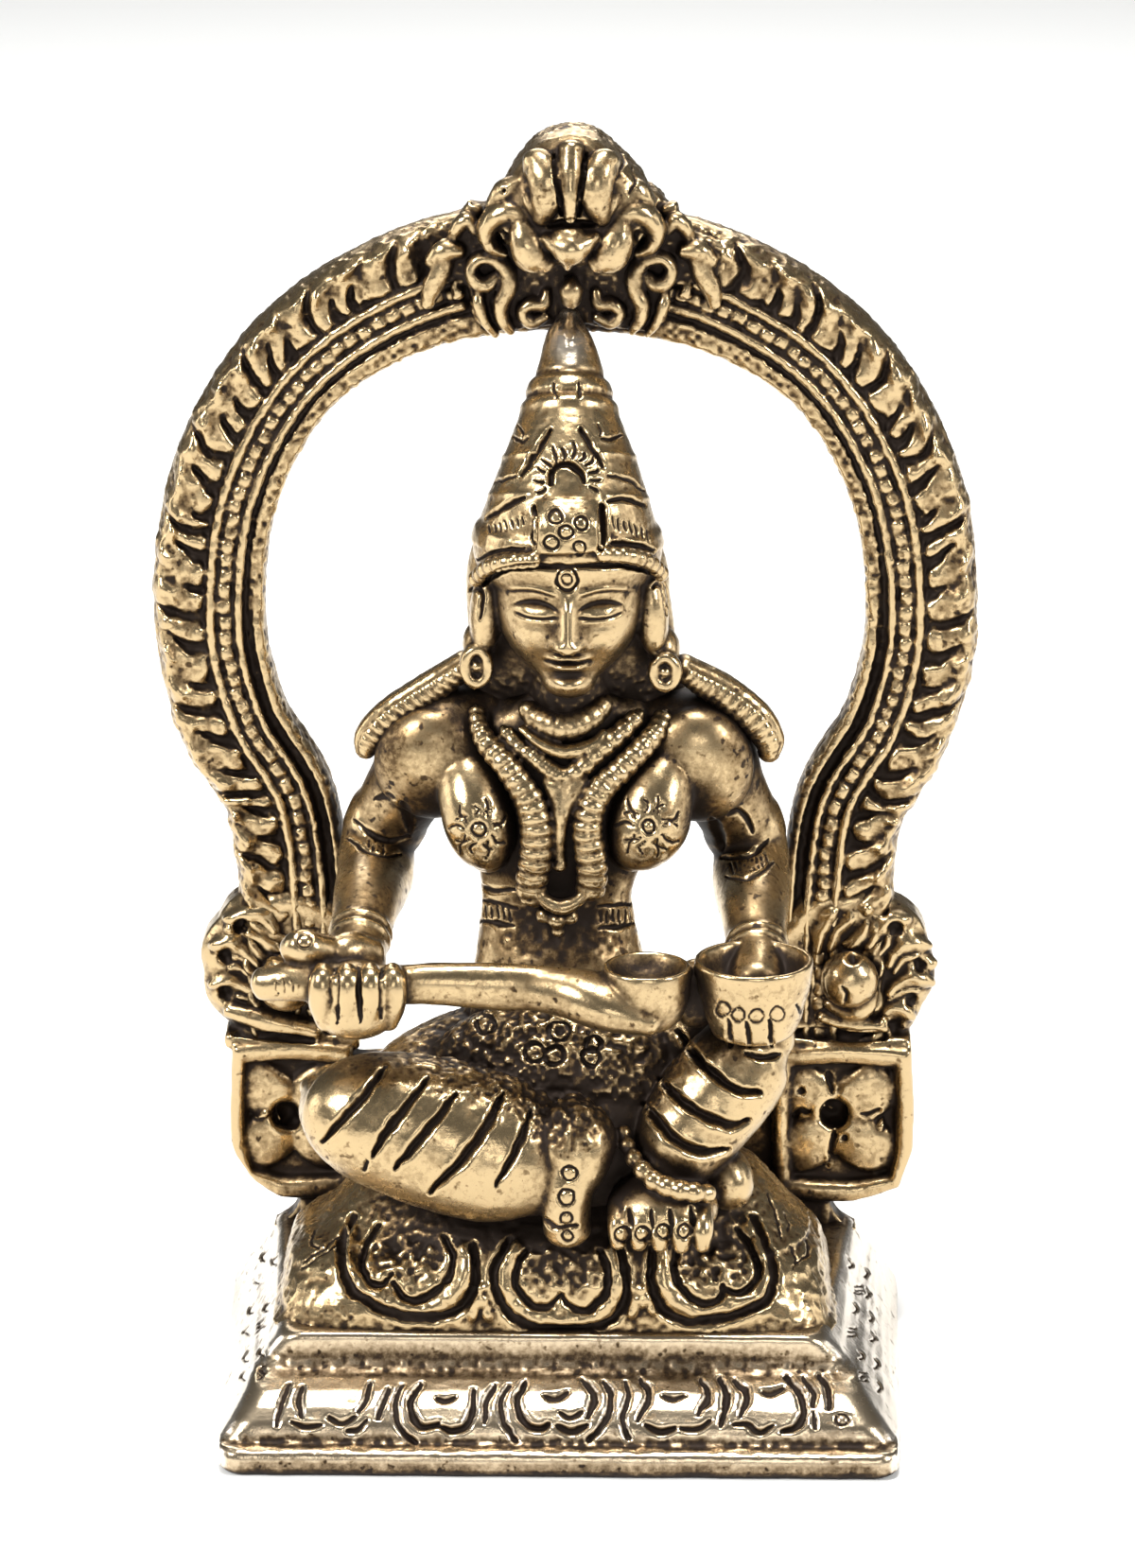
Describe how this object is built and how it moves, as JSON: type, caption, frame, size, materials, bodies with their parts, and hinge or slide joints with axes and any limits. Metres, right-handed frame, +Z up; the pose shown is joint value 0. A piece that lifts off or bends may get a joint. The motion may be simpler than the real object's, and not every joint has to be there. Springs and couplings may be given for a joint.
{
  "type": "cast brass seated goddess figure with arch and plinth",
  "caption": "Seated crowned goddess with a ladle and a bowl on a lotus seat and stepped plinth, inside a flame arch with a lion mask.",
  "frame": {"origin": "middle of the plinth's underside", "axes": "+Z up, +Y to the back of the figure, +X to the figure's left, which is the viewer's right"},
  "size_m": [0.083, 0.046, 0.1283],
  "materials": {
    "brass": "cast brass with an antique finish, rubbed bright on the high places and brown-black in the hollows"
  },
  "bodies": {
    "root": {"seated_goddess": "brass"}
  },
  "joints": []
}
